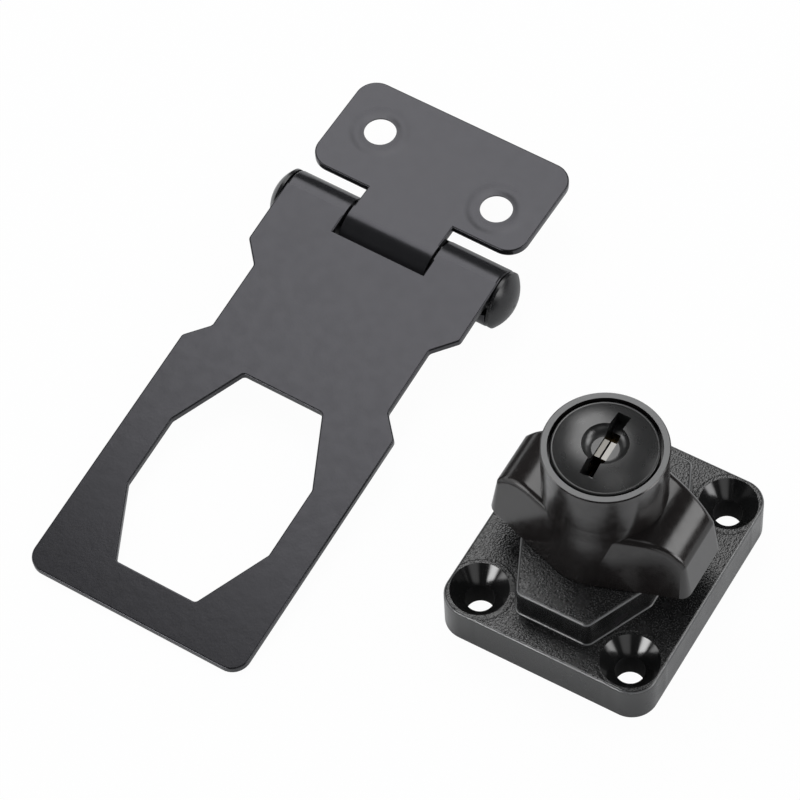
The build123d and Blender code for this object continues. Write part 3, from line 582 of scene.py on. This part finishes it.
# %% Base: colour
speck_scale = 3800.0
speck_detail = 1.0
speck_starts = 0.5
speck_full = 0.72
# Light specks painted into the colour: painted highlights for the glints on the wrinkle tops.
painted_glint_grey = grey(0.05)
speck = tree.nodes.new("ShaderNodeTexNoise")
speck.inputs["Scale"].default_value = speck_scale
speck.inputs["Detail"].default_value = speck_detail
tree.links.new(base.place, speck.inputs["Vector"])
painted_glint_mask = ramp_between(tree, speck.outputs["Fac"], speck_starts, speck_full)
painted_glint_mask = calculate(tree, "MULTIPLY", painted_glint_mask, rough_zone)
top_color = mix_color(tree, painted_glint_mask, base_black, painted_glint_grey)

# A lighter grey painted on the rounded edges, as a painted highlight along them.
edge_from_side = (0.25, 0.45)
edge_to_top = (0.78, 0.93)
painted_edge_highlight_grey = grey(0.13)
past_side = ramp_between(tree, upward, *edge_from_side)
before_top = ramp_between(tree, upward, *edge_to_top, out_low=1.0, out_high=0.0)
painted_edge_highlight_mask = calculate(tree, "MULTIPLY", past_side, before_top)
painted_edge_highlight_mask = calculate(tree, "MULTIPLY", painted_edge_highlight_mask, outside_sink)
feed(tree, base.surface.inputs["Base Color"], mix_color(tree, painted_edge_highlight_mask, top_color, painted_edge_highlight_grey))
print("specks per metre", speck_scale)

# %% Base: gloss
sink_roughness = 0.13
hole_roughness = 0.9
sink_gloss = mix_value(tree, in_sink, base.roughness, sink_roughness)
feed(tree, base.surface.inputs["Roughness"], mix_value(tree, in_hole, sink_gloss, hole_roughness))
give(base, "base_plate")

# %% [markdown]
# ## Glossy coat on the knob
# The knob is smoother and glossier than the base, and its black is faintly brown. The flat rim round its
# crown is a pale grey ring, partly the coat faced thin there and partly a painted reflection. The rim is
# the highest part of the knob, so a mask on height alone picks it out, and the coat there turns lighter and
# duller.

# %% Knob finish
knob_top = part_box("turn_knob")[1][2]
knob_black = (0.014, 0.012, 0.0115, 1.0)
# The rim's pale grey is partly its own lighter coat and partly a painted reflection.
rim_grey_and_painted_sheen = grey(0.12)
rim_depth = 0.03 * mm
rim_roughness = 0.34

knob = coat("glossy_knob_coat", knob_black, roughness=(0.15, 0.21), grain=1500.0, waves=700.0,
            depth=0.004 * mm, specular=0.62)
tree = knob.tree
rim = use_group(tree, above_mark, {"Vector": knob.place, "Height": knob_top - rim_depth})["Mask"]
feed(tree, knob.surface.inputs["Base Color"], mix_color(tree, rim, knob_black, rim_grey_and_painted_sheen))
feed(tree, knob.surface.inputs["Roughness"], mix_value(tree, rim, knob.roughness, rim_roughness))
give(knob, "turn_knob")

# %% [markdown]
# ## Plug with its bright ward
# The plug's domed face has a satin black coat. In the middle of the slot the two wards are bare, bright
# metal; one is painted a lighter silver for the light it catches and the other a darker one, as painted
# light and shade. A second material would need its own faces there. The wards' place is a small box on
# the axis, so a mask from the Object coordinates turns the coat into metal.

# %% Plug finish
plug_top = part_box("key_plug")[1][2]
plug_black = grey(0.020)
ward_half_across = 1.2 * mm
ward_half_along = 1.7 * mm
ward_below_top = 1.7 * mm
ward_split = 0.1 * mm
# Painted light and shade: one ward half is painted a lighter silver for the light it catches, the other
# darker.
painted_shaded_silver = (0.14, 0.135, 0.125, 1.0)
painted_lit_silver = (0.22, 0.215, 0.205, 1.0)
ward_roughness = 0.3

plug = coat("satin_plug_coat", plug_black, roughness=(0.27, 0.31), grain=2400.0, waves=500.0,
            depth=0.003 * mm, specular=0.9)
tree = plug.tree
parts = tree.nodes.new("ShaderNodeSeparateXYZ")
tree.links.new(plug.place, parts.inputs["Vector"])
near_x = calculate(tree, "LESS_THAN", calculate(tree, "ABSOLUTE", parts.outputs["X"]), ward_half_across)
near_y = calculate(tree, "LESS_THAN", calculate(tree, "ABSOLUTE", parts.outputs["Y"]), ward_half_along)
above = use_group(tree, above_mark, {"Vector": plug.place, "Height": plug_top - ward_below_top})["Mask"]
low = calculate(tree, "SUBTRACT", 1.0, above)
bare = calculate(tree, "MULTIPLY", calculate(tree, "MULTIPLY", near_x, near_y), low)
painted_lit_half = ramp_between(tree, parts.outputs["X"], -ward_split, ward_split)
silver = mix_color(tree, painted_lit_half, painted_shaded_silver, painted_lit_silver)
feed(tree, plug.surface.inputs["Base Color"], mix_color(tree, bare, plug_black, silver))
feed(tree, plug.surface.inputs["Metallic"], bare)
feed(tree, plug.surface.inputs["Roughness"], mix_value(tree, bare, plug.roughness, ward_roughness))
give(plug, "key_plug")

# %% [markdown]
# ## Bare metals inside
# The wafers are stamped brass, and the springs, the washers, the bolt and the tail are steel. They show
# only from below and deep in the keyway. A plain grey would do at that size, but a metal with a fine grain
# holds up when the lock is taken apart, and one function gives it to all three metals.

# %% Inner metals
def bare_metal(name, color, roughness):
    """Metal with a fine grain."""
    made = coat(name, color, roughness, grain=1200.0, waves=300.0, depth=0.002 * mm)
    made.surface.inputs["Metallic"].default_value = 1.0
    return made


brass_yellow = (0.60, 0.42, 0.17, 1.0)
steel_grey = (0.42, 0.42, 0.44, 1.0)
spring_grey = (0.50, 0.50, 0.53, 1.0)
brass = bare_metal("stamped_brass", brass_yellow, roughness=(0.26, 0.36))
steel = bare_metal("plain_steel", steel_grey, roughness=(0.28, 0.38))
spring_steel = bare_metal("spring_steel", spring_grey, roughness=(0.20, 0.30))
wafers = [name for name in nodes if name.startswith("wafer_") and "spring" not in name]
springs = [name for name in nodes if "spring" in name] + ["spindle_ring"]
give(brass, *wafers)
give(spring_steel, *springs)
give(steel, "plug_retainer", "drive_tail", "lock_bolt", "thrust_washer")
